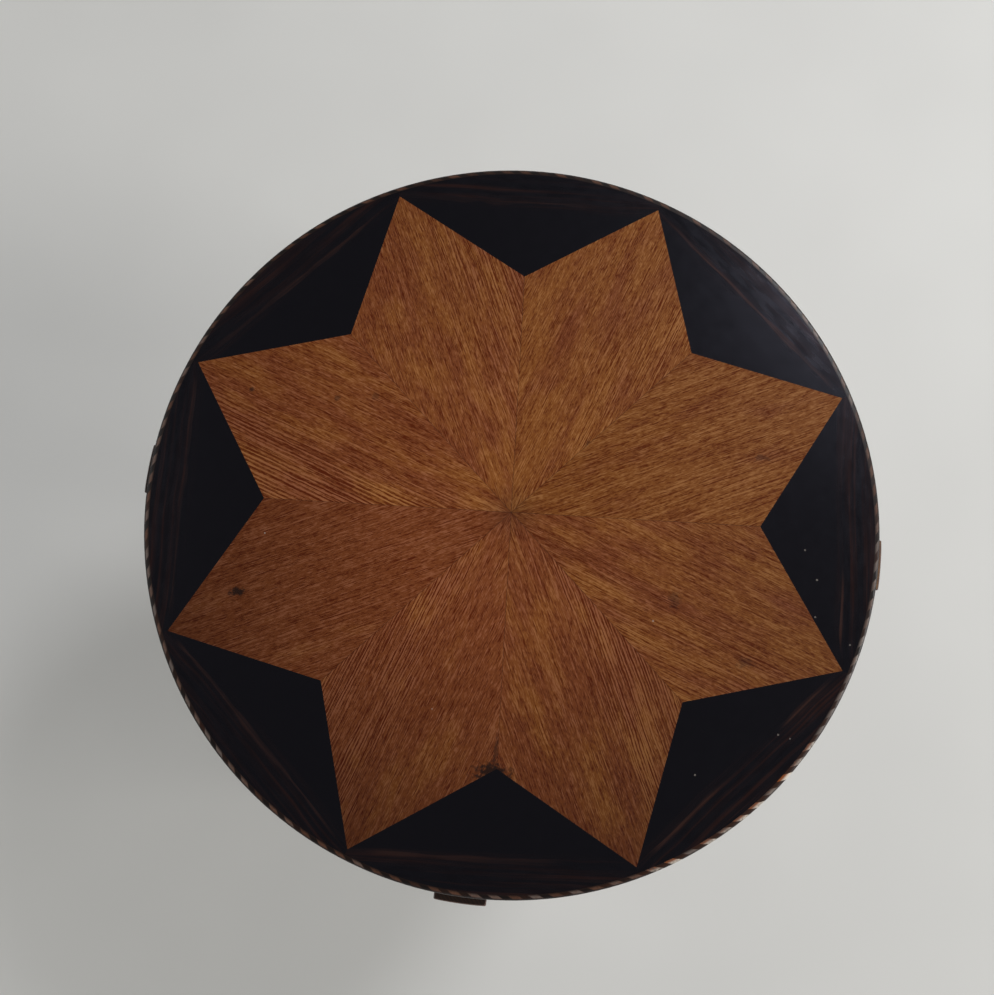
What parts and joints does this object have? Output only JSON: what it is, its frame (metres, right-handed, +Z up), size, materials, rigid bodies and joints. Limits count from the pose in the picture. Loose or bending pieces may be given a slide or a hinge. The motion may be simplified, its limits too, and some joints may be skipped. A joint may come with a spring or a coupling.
{
  "type": "side table",
  "caption": "Round side table with an eight-point star of marquetry in the top, bowed aprons, four tapered legs and a low crossed stretcher.",
  "frame": {"origin": "on the floor, under the middle of the round top", "axes": "+Z up through the middle of the top; the front leg stands on -Y and the others on +X, +Y and -X"},
  "size_m": [0.623, 0.623, 0.6],
  "materials": {
    "star_veneer": "satin polish",
    "ebony_veneer": "gloss polish",
    "frame_wood": "satin polish",
    "lipping_wood": "gloss polish",
    "banding_light_wood": "gloss polish",
    "banding_dark_wood": "gloss polish",
    "core_wood": "bare",
    "back_wood": "thin stain",
    "button_wood": "bare",
    "screw_steel": "dull",
    "glide_steel": "worn plating"
  },
  "bodies": {
    "root": {"star_lozenge_1": "star_veneer", "star_lozenge_2": "star_veneer", "star_lozenge_3": "star_veneer", "star_lozenge_4": "star_veneer", "star_lozenge_5": "star_veneer", "star_lozenge_6": "star_veneer", "star_lozenge_7": "star_veneer", "star_lozenge_8": "star_veneer", "ebony_field_1": "ebony_veneer", "ebony_field_2": "ebony_veneer", "ebony_field_3": "ebony_veneer", "ebony_field_4": "ebony_veneer", "ebony_field_5": "ebony_veneer", "ebony_field_6": "ebony_veneer", "ebony_field_7": "ebony_veneer", "ebony_field_8": "ebony_veneer", "leg_right": "frame_wood", "leg_back": "frame_wood", "leg_left": "frame_wood", "leg_front": "frame_wood", "apron_1": "frame_wood", "apron_2": "frame_wood", "apron_3": "frame_wood", "apron_4": "frame_wood", "stretcher_side": "frame_wood", "stretcher_front": "frame_wood", "edge_lipping": "lipping_wood", "banding_light": "banding_light_wood", "banding_dark": "banding_dark_wood", "top_core": "core_wood", "back_veneer": "back_wood", "table_buttons": "button_wood", "button_screws": "screw_steel", "leg_glides": "glide_steel"}
  },
  "joints": []
}
